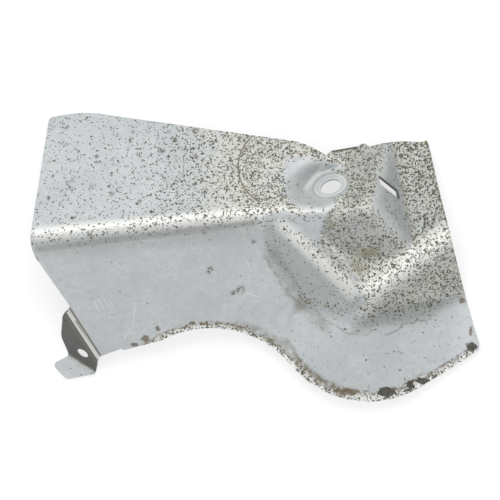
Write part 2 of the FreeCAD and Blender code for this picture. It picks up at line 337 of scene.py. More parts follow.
def arcPoints(a, b, c, step):
    # points on the circle from a through b to c, without a itself
    ax, ay, bx, by, cx, cy = a[0], a[1], b[0], b[1], c[0], c[1]
    aa, bb, cc = ax * ax + ay * ay, bx * bx + by * by, cx * cx + cy * cy
    d = 2.0 * (ax * (by - cy) + bx * (cy - ay) + cx * (ay - by))
    ux = (aa * (by - cy) + bb * (cy - ay) + cc * (ay - by)) / d
    uy = (aa * (cx - bx) + bb * (ax - cx) + cc * (bx - ax)) / d
    radius = math.hypot(ax - ux, ay - uy)
    first = math.atan2(ay - uy, ax - ux)
    turn = (math.atan2(cy - uy, cx - ux) - first) % (2.0 * math.pi)
    middle = (math.atan2(by - uy, bx - ux) - first) % (2.0 * math.pi)
    if middle > turn:
        turn -= 2.0 * math.pi
    count = max(2, int(abs(turn) * radius / step))
    angles = first + turn * np.arange(1, count + 1) / count
    return [(ux + radius * math.cos(q), uy + radius * math.sin(q)) for q in angles]


def linePoints(a, b, step):
    dx, dy = b[0] - a[0], b[1] - a[1]
    count = max(1, int(math.hypot(dx, dy) / step))
    return [(a[0] + dx * i / count, a[1] + dy * i / count) for i in range(1, count + 1)]


def onCircle(circle, angle):
    return (circle[0] + circle[2] * math.cos(angle), circle[1] + circle[2] * math.sin(angle))


# trim line in plan, round from the left end of the fold: a step of one point is a line, of two an arc
corner = plateForm["corner"]
cornerTurn = math.atan2(corner[1] - lobe[1], corner[0] - lobe[0])
cornerTurn -= math.acos(lobe[2] / math.hypot(corner[0] - lobe[0], corner[1] - lobe[1]))
lobeEnd = onCircle(lobe, cornerTurn)
meet = onCircle(arch, math.atan2(lobe[1] - arch[1], lobe[0] - arch[0]))
archEnd = onCircle(arch, math.radians(plateForm["archEndAngle"]))
lobeLow = (lobe[0], lobe[1] - lobe[2])
archTop = (arch[0], arch[1] + arch[2])
trimSteps = [
    # back edge of the top
    [(-105.4, 66.3)], [(-104.9, 68.4), (-103.0, 69.5)], [(-94.0, 71.1), (-84.8, 71.7)],
    [(-78.5, 71.2), (-73.2, 70.4)], [(23.9, 56.6)], [(33.0, 53.2), (39.4, 49.3)],
    # back edge of the boss and the right panel
    [(42.3, 51.7)], [(56.5, 54.2)], [(58.8, 55.5), (62.0, 53.9)],
    [(75.0, 56.4), (88.6, 56.2)], [(92.0, 57.2)],
    # right edge, skirt and arch
    [(93.0, 54.9)], [(104.6, 5.9), (119.2, -47.0)], [(119.9, -50.2), corner], [lobeEnd], [lobeLow, meet],
    [archTop, archEnd], [(-66.0, -52.4)], [(-67.2, -51.6)], [(-76.5, -55.0)],
    # tab and foot
    [(-79.2, -56.8), (-80.2, -60.0)], [(-81.0, -64.2)], [(-81.4, -65.0), (-82.3, -65.2)], [(-94.9, -67.5)],
    [(-96.2, -67.4), (-97.2, -66.7)], [(-101.8, -61.9)], [(-102.4, -60.0), (-101.3, -58.5)],
    [(-96.6, -56.2)],
    [(-95.3, -55.2), (-95.4, -53.4)], [(-98.3, -46.5)], [(-98.7, -44.6), (-98.6, -42.0)], [(-98.0, -36.8)],
    [(-97.3, -33.6), (-95.2, -31.6)], [(-93.7, -29.5)],
    # left edge of the wall
    [(-109.7, -6.3)], [(-113.2, 1.1), (-113.6, 9.1)],
]
spacing = plateForm["spacing"]
trimLoop = []
here = trimSteps[-1][-1]
for step in trimSteps:
    if len(step) == 1:
        trimLoop += linePoints(here, step[0], spacing)
    else:
        trimLoop += arcPoints(here, step[0], step[1], spacing)
    here = step[-1]


def roundHole(cx, cy, radius, slopeX, slopeY):
    # a circle that lies in a plane of that slope, seen in plan
    first = np.array([1.0, 0.0, slopeX]) / math.hypot(1.0, slopeX)
    normal = np.array([-slopeX, -slopeY, 1.0]) / math.sqrt(1.0 + slopeX * slopeX + slopeY * slopeY)
    second = np.cross(normal, first)
    angles = np.linspace(0.0, 2.0 * math.pi, plateForm["holePoints"], endpoint=False)
    rim = radius * (np.cos(angles)[:, None] * first + np.sin(angles)[:, None] * second)
    return [(cx + r[0], cy + r[1]) for r in rim]


(tabAx, tabAy), (tabBx, tabBy) = plateForm["tabLine"]
tabRun = math.hypot(tabBx - tabAx, tabBy - tabAy)
tabSlopeX = -plateForm["wallFoot"] * plateForm["foldRise"] - plateForm["tabFall"] * (tabBy - tabAy) / tabRun
tabSlopeY = plateForm["wallFoot"] + plateForm["tabFall"] * (tabBx - tabAx) / tabRun
slotLoop = []
for i, slotCorner in enumerate(plateForm["slot"]):
    slotLoop += linePoints(plateForm["slot"][i - 1], slotCorner, spacing)
holeLoops = [
    roundHole(seat[0], seat[1], plateForm["boltRadius"], plateForm["seatRise"], plateForm["seatFall"]),
    roundHole(*plateForm["tabHole"], tabSlopeX, tabSlopeY),
    slotLoop,
]


def inside(points, loop):
    # crossing count of a ray to the right, for many points at once
    loop = np.asarray(loop)
    x, y = points[:, 0][:, None], points[:, 1][:, None]
    x1, y1 = loop[:, 0][None], loop[:, 1][None]
    x2, y2 = np.roll(loop[:, 0], -1)[None], np.roll(loop[:, 1], -1)[None]
    rise = np.where(y2 == y1, 1e-12, y2 - y1)
    hit = ((y1 > y) != (y2 > y)) & (x < (x2 - x1) * (y - y1) / rise + x1)
    return hit.sum(axis=1) % 2 == 1


def clearOf(points, loop, least):
    loop = np.asarray(loop)
    dx = points[:, None, 0] - loop[None, :, 0]
    dy = points[:, None, 1] - loop[None, :, 1]
    return np.min(dx ** 2 + dy ** 2, axis=1) > least * least


# plan of the sheet: a grid of even triangles inside the trim line, joined to it and to the holes
rowStep = spacing * plateForm["rowShare"]
fill = []
for i, rowY in enumerate(np.arange(plateForm["gridLow"][1], plateForm["gridHigh"][1], rowStep)):
    rowX = np.arange(plateForm["gridLow"][0], plateForm["gridHigh"][0], spacing) + 0.5 * spacing * (i % 2)
    fill.append(np.stack([rowX, np.full_like(rowX, rowY)], axis=1))
fill = np.concatenate(fill)
fill = fill[inside(fill, trimLoop)]
for loop in [trimLoop] + holeLoops:
    fill = fill[clearOf(fill, loop, plateForm["rimClear"] * spacing)]
for loop in holeLoops:
    fill = fill[~inside(fill, loop)]
plan = []
edges = []
for loop in [trimLoop] + holeLoops:
    first = len(plan)
    plan += [Vector(p) for p in loop]
    edges += [(first + i, first + (i + 1) % len(loop)) for i in range(len(loop))]
plan += [Vector((float(p[0]), float(p[1]))) for p in fill]
made = delaunay_2d_cdt(plan, edges, [], 0, 1e-6)
flat = np.array([(p.x, p.y) for p in made[0]])
faces = np.array(made[2], dtype=np.int64)
middle = flat[faces].mean(axis=1)
keep = inside(middle, trimLoop)
for loop in holeLoops:
    keep &= ~inside(middle, loop)
used, inverse = np.unique(faces[keep], return_inverse=True)
flat = flat[used]
faces = inverse.reshape(-1, 3)
a, b, c = flat[faces[:, 0]], flat[faces[:, 1]], flat[faces[:, 2]]
area = (b[:, 0] - a[:, 0]) * (c[:, 1] - a[:, 1]) - (b[:, 1] - a[:, 1]) * (c[:, 0] - a[:, 0])
faces[area < 0] = faces[area < 0][:, ::-1]
print("plan triangles", len(faces))

# upper skin from the form, lower skin one gauge along the normal, rims between them
x, y = flat[:, 0], flat[:, 1]
height, face = drawForm(x, y)
probe = plateForm["probe"]
slopeX = (drawForm(x + probe, y)[0] - drawForm(x - probe, y)[0]) / (2.0 * probe)
slopeY = (drawForm(x, y + probe)[0] - drawForm(x, y - probe)[0]) / (2.0 * probe)
normal = np.stack([-slopeX, -slopeY, np.ones_like(x)], axis=1)
normal /= np.linalg.norm(normal, axis=1, keepdims=True)
upper = np.stack([x, y, height], axis=1)
lower = upper - plateForm["gauge"] * normal
count = len(x)
sides = np.concatenate([faces[:, [0, 1]], faces[:, [1, 2]], faces[:, [2, 0]]])
keys = sides[:, 0] * count + sides[:, 1]
rim = sides[~np.isin(keys, sides[:, 1] * count + sides[:, 0])]
walls = np.stack([rim[:, 1], rim[:, 0], rim[:, 0] + count, rim[:, 1] + count], axis=1)
points = np.concatenate([upper, lower]) / 1000.0
points = points @ np.array(drawTurn).T + np.array(drawShift)
lowCorner, highCorner = (np.array(boxCorner) for boxCorner in cadBox)
excess = max((lowCorner - points.min(axis=0)).max(), (points.max(axis=0) - highCorner).max())
print("beyond the box before trimming, mm", round(1000.0 * float(excess), 3))
points = np.clip(points, lowCorner, highCorner)
mesh = bpy.data.meshes.new("plateSkin")
polygons = faces.tolist() + (faces[:, ::-1] + count).tolist() + walls.tolist()
mesh.from_pydata(points.tolist(), [], polygons)
smooth = np.ones(len(polygons), dtype=bool)
smooth[2 * len(faces):] = False
mesh.polygons.foreach_set("use_smooth", smooth)
mesh.update()
skin = bpy.data.objects.new("plateSkin", mesh)
scene.collection.objects.link(skin)
rimEdges = {tuple(sorted(pair)) for pair in rim.tolist() + (rim + count).tolist()}
pairs = np.zeros(len(mesh.edges) * 2, dtype=np.int64)
mesh.edges.foreach_get("vertices", pairs)
sharp = np.array([tuple(sorted(pair)) in rimEdges for pair in pairs.reshape(-1, 2).tolist()])
sharpLayer = mesh.attributes.get("sharp_edge") or mesh.attributes.new("sharp_edge", "BOOLEAN", "EDGE")
sharpLayer.data.foreach_set("value", sharp)
print("plate skin ready", len(points), "points")

# masks carried by the points: pitting by face, painted shade with dirt in creases, painted highlight with
# wear on folds, marks along the edges
wearAndShade = {
    "spread": 3,                        # smoothing rounds of the pitting and of the painted shade
    "shadeSpread": 4,
    "creaseReach": 1.6,                 # distance over which bending is judged
    "panelLow": 4.0,                    # the right panel is the ledge above this y
    "panel": (1.55, 0.56),              # its pits and painted shade
    "topPits": (0.34, 0.66, 0.40),      # pits on the top: everywhere, towards the boss, beside the boss
    "foldPits": 0.45,                   # pits on the wall just below the fold
    "skirtPits": (0.06, 0.85),          # pits on the skirt: everywhere, near the ridge
    "skirtShade": (0.06, 0.82),          # painted shade with grey film on the skirt: everywhere, in its band
    "topRange": (-85.0, 5.0),           # x over which the top's pits grow
    "bossRange": (-22.0, 12.0),
    "foldRange": (-8.5, -3.5),          # distance behind the fold over which its pits grow
    "bandEnd": (14.0, 16.5),            # where the band ends below the ridge, and its growth to the right
    "bandRange": (50.0, 100.0),
    "cornerRange": (48.0, 60.0),        # x over which the skirt's pits and its painted shade begin
    "shadeRange": (46.0, 62.0),
    "dimpleRange": (6.0, 10.0),         # distances over which pits and painted crease shade begin outside the clean places
    "seatRange": (8.6, 10.2),
    "scoopRange": (13.0, 20.0),
    "creaseBend": (0.25, 1.5),          # bending that counts as a crease or as a crest
    "crestBend": (0.25, 1.3),
    "dimple": (27.5, 40.5, 1.25),       # clean hollow of the scoop: centre and stretch
    "seatStretch": 1.6,
    "scoopMiddle": (36.0, 37.0),
    "underShare": 0.4,                  # share of all marks on the lower skin
}
# bare patches and brown stains: place, half width, half height; dark spots: place, half width
flakes = [
    (71.4, -74.0, 4.4, 2.8), (83.6, -71.2, 2.7, 2.8), (89.8, -68.4, 3.9, 1.6), (116.0, -50.4, 3.1, 2.4),
]
stains = [
    (-54.6, -46.3, 2.3, 2.0), (-48.0, -40.9, 1.3, 1.7), (-30.2, -38.2, 1.7, 0.9), (-24.8, -38.6, 1.9, 0.9),
    (-60.5, -49.6, 2.2, 1.1), (110.7, -26.5, 1.7, 1.4), (115.4, -42.0, 1.0, 3.0), (50.0, -74.2, 7.0, 2.0),
    (92.2, 55.6, 1.6, 1.4),
]
spots = [
    (-45.8, 52.0, 1.5), (-39.0, 57.7, 1.2), (-28.6, 61.9, 1.7), (-62.4, 57.2, 1.0), (-80.1, 48.9, 1.2),
    (-94.6, 34.8, 1.2), (-81.6, 33.3, 1.4), (-71.8, 29.1, 1.2), (-57.2, 25.5, 1.0), (-104.5, 27.0, 1.1),
    (-48.4, 13.0, 1.4), (-83.7, 8.3, 1.3), (-23.9, 9.4, 1.2), (2.1, 4.2, 1.1), (-4.9, -20.8, 2.0),
    (-8.6, -22.3, 1.3), (-20.9, -10.5, 1.8),
]


def relax(values, rounds):
    # moves each value towards the mean of its neighbours
    total = np.zeros(count)
    np.add.at(total, sides[:, 0], 1.0)
    for _ in range(rounds):
        gathered = np.zeros(count)
        np.add.at(gathered, sides[:, 0], values[sides[:, 1]])
        values = 0.4 * values + 0.6 * gathered / np.maximum(total, 1.0)
    return values


def blotches(places):
    covered = np.zeros(count)
    for middleX, middleY, wide, tall in places:
        reach = np.hypot((x - middleX) / wide, (y - middleY) / tall)
        covered = np.maximum(covered, smoothStep(1.5 - reach, 0.0, 1.0))
    return covered


def onFace(name):
    return face == faceNumber[name]


pitting = np.array([pits for pits, _ in faceWearShade.values()])[face]
shadeAndFilm = np.array([darkShare for _, darkShare in faceWearShade.values()])[face]
rightPanel = onFace("ledge") & (y > wearAndShade["panelLow"])
onSkirt = onFace("rightOuter") | onFace("flare")
base, toBoss, nearBoss = wearAndShade["topPits"]
topPits = base + toBoss * smoothStep(x, *wearAndShade["topRange"]) + nearBoss * smoothStep(x, *wearAndShade["bossRange"])
pitting = np.where(onFace("top"), topPits, pitting)
foldPits = wearAndShade["foldPits"] * smoothStep(behindFold(x, y), *wearAndShade["foldRange"])
pitting = np.where(onFace("wall"), pitting + foldPits, pitting)
pitting = np.where(rightPanel, wearAndShade["panel"][0], pitting)
shadeAndFilm = np.where(rightPanel, wearAndShade["panel"][1], shadeAndFilm)
skirtSide, _ = beside(x, y, plateForm["rightLine"])
bandLimit = wearAndShade["bandEnd"][0] + wearAndShade["bandEnd"][1] * smoothStep(x, *wearAndShade["bandRange"])
low, more = wearAndShade["skirtPits"]
skirtPits = more * smoothStep(bandLimit - skirtSide, -2.0, 8.0) * smoothStep(x, *wearAndShade["cornerRange"])
skirtPits = low + skirtPits
pitting = np.where(onSkirt, skirtPits, pitting)
thinShade, fullShade = wearAndShade["skirtShade"]
skirtShade = fullShade * smoothStep(skirtSide, 4.0, 13.0) * smoothStep(x, *wearAndShade["shadeRange"])
skirtShade = skirtShade * smoothStep(bandLimit - skirtSide, -2.5, 4.0)
shadeAndFilm = relax(np.where(onSkirt, np.maximum(skirtShade, thinShade), shadeAndFilm), wearAndShade["shadeSpread"])
dimpleX, dimpleY, stretch = wearAndShade["dimple"]
pitting = pitting * smoothStep(np.hypot((x - dimpleX) / stretch, y - dimpleY), *wearAndShade["dimpleRange"])
washer = np.hypot(x - seat[0], (y - seat[1]) * wearAndShade["seatStretch"])
pitting = pitting * smoothStep(washer, *wearAndShade["seatRange"])
pitting = relax(pitting, wearAndShade["spread"])
reach = wearAndShade["creaseReach"]
bend = -4.0 * height
for stepX, stepY in ((reach, 0.0), (-reach, 0.0), (0.0, reach), (0.0, -reach)):
    bend = bend + drawForm(x + stepX, y + stepY)[0]
# painted shade with dirt where the sheet bends concave
creaseShadeAndDirt = relax(smoothStep(bend, *wearAndShade["creaseBend"]), 2)
scoopGap = np.hypot(x - wearAndShade["scoopMiddle"][0], y - wearAndShade["scoopMiddle"][1])
creaseShadeAndDirt = creaseShadeAndDirt * smoothStep(scoopGap, *wearAndShade["scoopRange"])
# painted highlight where the sheet bends convex, partly rubbed wear
sheenAndRub = relax(smoothStep(-bend, *wearAndShade["crestBend"]), 1)
tabSide, _ = beside(x, y, plateForm["tabLine"])
footSide, _ = beside(x, y, plateForm["footLine"])
onTab = onFace("tab") | ((x < -76.0) & (tabSide > 0.0) & (y < -29.0))
masks = {
    "pitting": pitting,
    "creaseShadeAndDirt": creaseShadeAndDirt,
    "sheenAndRub": sheenAndRub,
    "shadeAndFilm": shadeAndFilm,
    # painted shade on the tab plate, which faces away from the light
    "tabDark": np.where(onTab & (footSide < 0.5), 1.0, 0.0),
    "flake": blotches(flakes),
    "stain": blotches(stains),
    "spot": blotches([(spotX, spotY, wide, wide) for spotX, spotY, wide in spots]),
}
for name, values in masks.items():
    layer = mesh.attributes.new(name, "FLOAT", "POINT")
    bothSkins = np.concatenate([values, values * wearAndShade["underShare"]])
    layer.data.foreach_set("value", bothSkins.astype(np.float32))
# place on the sheet in the draw frame, in units of 100 mm
planLayer = mesh.attributes.new("drawPlan", "FLOAT_VECTOR", "POINT")
planValues = np.concatenate([upper, lower]) / 100.0
planLayer.data.foreach_set("vector", planValues.astype(np.float32).ravel())
print("masks ready")

sheetLook = {
    "skin": (0.53, 0.555, 0.56),        # aluminised skin
    "cloud": (0.41, 0.435, 0.45),       # greyer cloud
    "sheenAndRub": (0.71, 0.715, 0.68),       # painted highlight on folds and beads, also the colour of rubbed scratches
    "shadeAndFilm": (0.22, 0.235, 0.222),       # painted shade by face, with grey film
    "warm": (0.575, 0.565, 0.490),      # yellowed skin between the pits
    "pit": (0.062, 0.056, 0.034),       # corrosion pits
    "olive": (0.20, 0.175, 0.085),      # old dirt below the boss
    "print": (0.60, 0.62, 0.63),        # clean skin under the washer
    "dirtAndShade": (0.15, 0.14, 0.105),        # dirt, also used for painted shade in creases and below the fold
    "rust": (0.115, 0.085, 0.040),      # brown rust
    "flake": (0.040, 0.037, 0.028),     # bare dark patches, also used for painted shadow on the slot's far rim
    "tab": (0.085, 0.090, 0.082),       # shaded tab plate
    "metal": 0.30,
    "rough": 0.54,
    "marredRough": 0.35,                # added where the skin is marred
    "relief": 0.30,
    "reliefDepth": 0.0005,
}
# lines drawn in plan: ends, half width and fade in millimetres
sheetLines = {
    # painted highlights: strip beside the seat, thin ridge, both ridges of the second roof, top fold
    "strip": [((39.4, 45.5), (28.6, 31.4), 0.3, 1.8)],
    "thinRidge": [((35.9, 8.8), (57.2, -14.6), 0.1, 1.4)],
    "leftRidge": [((15.1, 14.6), (54.6, -23.4), 1.6, 4.0)],
    "rightRidge": [((59.3, -22.4), (109.2, 13.0), 2.6, 6.0)],
    "foldCrest": [((-112.5, 8.0), (8.0, 19.8), 2.4, 2.6)],
    "edgeBead": [(lobeEnd, corner, 2.4, 0.6)],
    "edgeDirt": [((88.0, -68.4), (116.6, -50.6), 0.2, 1.1)],
    # painted shade with dirt beside the tab's bend
    "tabFoldShade": [((-94.0, -30.0), (-78.2, -55.2), 0.25, 0.6), ((-96.2, -34.2), (-80.6, -58.4), 0.25, 0.6)],
    # painted highlight along the tab's bend
    "tabBeadSheen": [((-95.1, -32.2), (-79.4, -56.8), 0.45, 0.5)],
    "streak": [((77.5, -41.0), (95.7, -33.8), 0.2, 0.8)],
    # painted shade on the cheek beside its crease
    "valleyShade": [((9.6, 2.0), (24.5, -26.0), 0.8, 5.0), ((24.5, -26.0), (40.0, -40.5), 0.6, 4.5)],
    # thin dark lines along the creases
    "thin": [
        ((6.6, -2.0), (18.0, -20.0), 0.2, 1.0), ((18.0, -20.0), (28.0, -32.5), 0.2, 1.0),
        ((28.5, -24.9), (40.4, -37.8), 0.1, 0.7), ((40.4, -37.8), (54.3, -44.8), 0.1, 0.7),
        ((54.3, -44.8), (77.5, -41.6), 0.1, 0.7),
    ],
    "oldDirt": [
        ((40.5, 16.0), (43.0, 8.0), 0.6, 2.6), ((54.0, -1.4), (66.5, -1.8), 0.8, 3.0),
        ((52.0, -6.0), (59.5, -13.5), 1.0, 4.0),
    ],
    # painted shadow on the slot's far rim
    "slotRimShadow": [((66.9, 38.3), (76.7, 30.7), 0.25, 0.4), ((76.7, 30.7), (77.4, 26.6), 0.25, 0.4)],
    "rightRim": [((93.2, 54.0), (104.8, 6.0), 0.3, 1.2)],
    "backEdge": [((42.6, 51.2), (56.0, 53.7), 0.3, 0.6)],
    # painted shade below the top fold
    "foldShadeBand": [((-113.0, 0.2), (6.0, 11.2), 1.0, 8.0)],
    "foldShadeLine": [((-111.6, 0.2), (4.6, 14.2), 0.5, 2.8)],
}
# light scratches on the front wall, from end to end in plan
scratchEnds = [
    ((-81.6, -26.0), (-79.0, -31.2)), ((-79.0, -25.5), (-76.0, -30.6)), ((-76.0, -25.6), (-73.4, -30.0)),
    ((-73.2, -26.6), (-71.4, -29.4)), ((-59.8, -27.6), (-61.0, -39.4)), ((-61.0, -39.4), (-66.4, -47.2)),
    ((-1.9, -5.7), (1.5, -12.0)), ((-3.0, -22.0), (4.6, -24.6)), ((-24.0, -9.0), (-17.0, -12.6)),
]
sheetLines["scratches"] = [(start, end, 0.05, 0.45) for start, end in scratchEnds]


class Graph:
    # short hands for wiring one node tree
    def __init__(self, tree):
        self.tree = tree

    def add(self, kind, **values):
        node = self.tree.nodes.new(kind)
        for name, value in values.items():
            setattr(node, name, value)
        return node

    def feed(self, socket, value):
        if isinstance(value, bpy.types.NodeSocket):
            self.tree.links.new(value, socket)
        else:
            socket.default_value = value

    def maths(self, operation, a, b=0.0):
        node = self.add("ShaderNodeMath", operation=operation)
        self.feed(node.inputs[0], a)
        self.feed(node.inputs[1], b)
        return node.outputs[0]

    def times(self, first, *others):
        for other in others:
            first = self.maths("MULTIPLY", first, other)
        return first

    def most(self, first, *others):
        for other in others:
            first = self.maths("MAXIMUM", first, other)
        return first

    def vector(self, operation, *values):
        node = self.add("ShaderNodeVectorMath", operation=operation)
        for socket, value in zip(node.inputs, values):
            self.feed(socket, value)
        return node.outputs

    def step(self, value, low, high):
        node = self.add("ShaderNodeMapRange", interpolation_type="SMOOTHSTEP")
        self.feed(node.inputs[0], value)
        self.feed(node.inputs[1], low)
        self.feed(node.inputs[2], high)
        return node.outputs[0]

    def paint(self, tone, amount, colour):
        # the tone, covered by a colour of the sheet as far as the amount says
        node = self.add("ShaderNodeMix", data_type="RGBA")
        self.feed(node.inputs[0], amount)
        self.feed(node.inputs[6], tone)
        self.feed(node.inputs[7], (*sheetLook[colour], 1.0))
        return node.outputs[2]

    def mask(self, name):
        return self.add("ShaderNodeAttribute", attribute_name=name).outputs["Fac"]

    def noise(self, where, scale, detail=3.0, rough=0.55):
        node = self.add("ShaderNodeTexNoise")
        self.feed(node.inputs["Vector"], where)
        node.inputs["Scale"].default_value = scale
        node.inputs["Detail"].default_value = detail
        node.inputs["Roughness"].default_value = rough
        return node.outputs["Fac"]

    def drift(self, where, scale):
        # a slowly changing vector, each part between 0 and 1
        node = self.add("ShaderNodeTexNoise")
        self.feed(node.inputs["Vector"], where)
        node.inputs["Scale"].default_value = scale
        return node.outputs["Color"]

    def specks(self, where, scale, size, share):
        # scattered round specks: each cell has its own size, and shows where its number is under the share
        node = self.add("ShaderNodeTexVoronoi")
        self.feed(node.inputs["Vector"], where)
        node.inputs["Scale"].default_value = scale
        own = self.add("ShaderNodeSeparateColor")
        self.feed(own.inputs[0], node.outputs["Color"])
        wide = self.times(self.maths("ADD", own.outputs[0], 0.45), size)
        disc = self.step(self.maths("SUBTRACT", wide, node.outputs["Distance"]), 0.0, 0.10)
        shown = self.step(self.maths("SUBTRACT", share, own.outputs[1]), -0.03, 0.03)
        return self.times(disc, shown)

    def dot(self, where, direction, offset):
        node = self.add("ShaderNodeVectorMath", operation="DOT_PRODUCT")
        self.feed(node.inputs[0], where)
        node.inputs[1].default_value = direction
        return self.maths("ADD", node.outputs["Value"], offset / 100.0)

    def stroke(self, where, a, b, wide, soft):
        # a straight line from a to b in plan, full inside its half width, faded over soft, in millimetres
        run = math.hypot(b[0] - a[0], b[1] - a[1])
        ex, ey = (b[0] - a[0]) / run, (b[1] - a[1]) / run
        along = self.dot(where, (ex, ey, 0.0), -(a[0] * ex + a[1] * ey))
        across = self.dot(where, (-ey, ex, 0.0), a[0] * ey - a[1] * ex)
        body = self.step(self.maths("ABSOLUTE", across), (wide + soft) / 100.0, wide / 100.0)
        begin = self.step(along, -soft / 100.0, soft / 100.0)
        finish = self.step(along, (run + soft) / 100.0, (run - soft) / 100.0)
        return self.times(body, begin, finish)

    def lines(self, where, name):
        return self.most(*[self.stroke(where, *line) for line in sheetLines[name]])

    def reach(self, where, centre):
        return self.vector("DISTANCE", where, [c / 100.0 for c in centre])["Value"]

    def ring(self, where, centre, radius, wide, soft):
        # a circle round the centre, full inside its half width, in millimetres
        gap = self.maths("ABSOLUTE", self.maths("SUBTRACT", self.reach(where, centre), radius / 100.0))
        return self.step(gap, (wide + soft) / 100.0, wide / 100.0)


sheetPaint = bpy.data.materials.new("aluminisedSheet")
sheetPaint.use_nodes = True
g = Graph(sheetPaint.node_tree)
shader = sheetPaint.node_tree.nodes["Principled BSDF"]
where = g.add("ShaderNodeAttribute", attribute_name="drawPlan").outputs["Vector"]
warped = g.vector("MULTIPLY_ADD", g.drift(where, 55.0), (0.024, 0.024, 0.024), where)["Vector"]

# the same place with the height left out, for marks drawn in plan, and once more with unsteady lines
level = g.vector("MULTIPLY", where, (1.0, 1.0, 0.0))["Vector"]
shifted = g.vector("SUBTRACT", level, (0.04, 0.04, 0.0))["Vector"]
wavy = g.vector("MULTIPLY_ADD", g.drift(where, 14.0), (0.08, 0.08, 0.0), shifted)["Vector"]
planX = g.dot(level, (1.0, 0.0, 0.0), 0.0)
planY = g.dot(level, (0.0, 1.0, 0.0), 0.0)
patch = g.noise(where, 30.0, 4.0)

# broad clouds, mottling and grain, yellowed areas, painted shade with grey film by face
cloud = g.step(g.noise(where, 3.2, 4.0), 0.36, 0.68)
mottle = g.step(g.noise(where, 26.0, 3.0), 0.32, 0.72)
grain = g.step(g.noise(where, 105.0, 4.0, 0.7), 0.38, 0.62)
yellowed = g.times(g.step(g.mask("pitting"), 0.62, 1.10), g.step(g.noise(where, 11.0, 3.0), 0.20, 0.62))
tone = g.paint((*sheetLook["skin"], 1.0), g.times(cloud, 0.62), "cloud")
tone = g.paint(tone, g.times(mottle, 0.50), "cloud")
tone = g.paint(tone, g.times(grain, 0.55), "cloud")
tone = g.paint(tone, g.times(yellowed, 0.70), "warm")
# painted shade by face, with grey film
tone = g.paint(tone, g.mask("shadeAndFilm"), "shadeAndFilm")

# scratches, painted highlights on folds and ridges (partly rubbed wear), clean washer seat, painted shade on
# the tab
tone = g.paint(tone, g.times(g.lines(level, "scratches"), 0.40), "sheenAndRub")
# painted highlight on convex bends, and painted highlight strokes along the ridges and the fold
sheenAndWear = g.times(g.mask("sheenAndRub"), 0.62)
sheenShares = {"strip": 0.45, "thinRidge": 0.6, "leftRidge": 0.55, "rightRidge": 0.66, "foldCrest": 0.68}
for name, share in sheenShares.items():
    sheenAndWear = g.most(sheenAndWear, g.times(g.lines(level, name), share))
tone = g.paint(tone, sheenAndWear, "sheenAndRub")
washerReach = g.reach(where, seat)
tone = g.paint(tone, g.times(g.step(washerReach, 0.094, 0.086), 0.55), "print")
# painted shade on the tab plate, which faces away from the light
tone = g.paint(tone, g.times(g.mask("tabDark"), 0.95), "tab")

# turned lip: a painted highlight on its bead, with dirt along its inner side, and a wider film where arch
# and skirt meet
archMiddle = (arch[0], arch[1], 0.0)
lobeMiddle = (lobe[0], lobe[1], 0.0)
onArch = g.times(g.step(planX, -0.72, -0.64), g.step(planX, 0.30, 0.24))
onLobe = g.times(g.step(planY, -0.40, -0.46), g.step(planX, 0.20, 0.26), g.step(planX, 0.93, 0.88))
archGap = g.maths("SUBTRACT", g.reach(level, archMiddle), arch[2] / 100.0)
lobeGap = g.maths("SUBTRACT", lobe[2] / 100.0, g.reach(level, lobeMiddle))
archBead = g.times(onArch, g.step(archGap, 0.026, 0.020))
lobeBead = g.times(onLobe, g.step(lobeGap, 0.042, 0.034))
bead = g.most(archBead, lobeBead, g.lines(level, "edgeBead"))
# painted highlight on the lip's bead
tone = g.paint(tone, g.times(bead, 0.65), "sheenAndRub")
archLine = g.times(onArch, g.ring(level, archMiddle, arch[2] + 2.7, 0.4, 0.9))
lobeLine = g.times(onLobe, g.ring(level, lobeMiddle, lobe[2] - 4.6, 0.3, 1.9))
lipLines = g.most(archLine, lobeLine, g.lines(level, "edgeDirt"))
lipDirt = g.times(lipLines, g.step(g.noise(where, 48.0, 4.0, 0.7), 0.40, 0.58))
archSpan = g.times(g.step(planX, -0.12, 0.06), g.step(planX, 0.25, 0.21))
lobeSpan = g.times(g.step(planX, 0.62, 0.46), g.step(planY, -0.44, -0.48))
archDeep = g.times(g.ring(level, archMiddle, arch[2] + 4.0, 0.8, 2.6), archSpan)
lobeDeep = g.times(g.ring(level, lobeMiddle, lobe[2] - 4.4, 0.8, 2.6), lobeSpan)
lipFilm = g.times(g.most(archDeep, lobeDeep), g.step(g.noise(where, 20.0, 5.0, 0.7), 0.30, 0.60))

# pits, fine and coarse, by the share that each face carries
share = g.times(g.mask("pitting"), g.step(g.noise(where, 7.0, 3.0), 0.16, 0.50))
share = g.times(share, g.step(washerReach, 0.090, 0.100))
share = g.most(share, g.times(bead, 1.30))
denser = g.times(share, share)
fine = g.specks(warped, 112.0, 0.46, g.times(share, 0.68))
coarse = g.specks(warped, 68.0, 0.40, g.times(denser, 0.74))
blot = g.specks(warped, 34.0, 0.28, g.times(denser, 0.12))
spotted = g.times(g.mask("spot"), g.step(g.noise(where, 60.0, 3.0), 0.38, 0.56))
pits = g.most(g.times(fine, 0.90), g.times(coarse, 0.92), g.times(blot, 0.8), g.times(spotted, 0.85))
tone = g.paint(tone, pits, "pit")

# thin dark marks: draw ring arcs, washer print, painted shade with dirt beside the tab fold, streak on the
# skirt
ringMiddle = (*plateForm["ringCentre"], 0.0)
outerArc = g.ring(level, ringMiddle, plateForm["ringRadii"][0], 0.15, 0.5)
innerArc = g.times(g.ring(level, ringMiddle, plateForm["ringRadii"][1], 0.1, 0.4), 0.5)
arcs = g.times(g.most(outerArc, innerArc), g.step(planX, 0.075, 0.02), g.step(patch, 0.24, 0.46))
washerPrint = g.most(g.ring(where, seat, 9.2, 0.1, 0.5), g.times(g.ring(where, seat, 7.0, 0.1, 0.4), 0.5))
streak = g.times(g.lines(wavy, "streak"), g.step(patch, 0.34, 0.58))
marks = g.most(g.times(arcs, 0.95), g.times(washerPrint, 0.30), g.times(streak, 0.60))
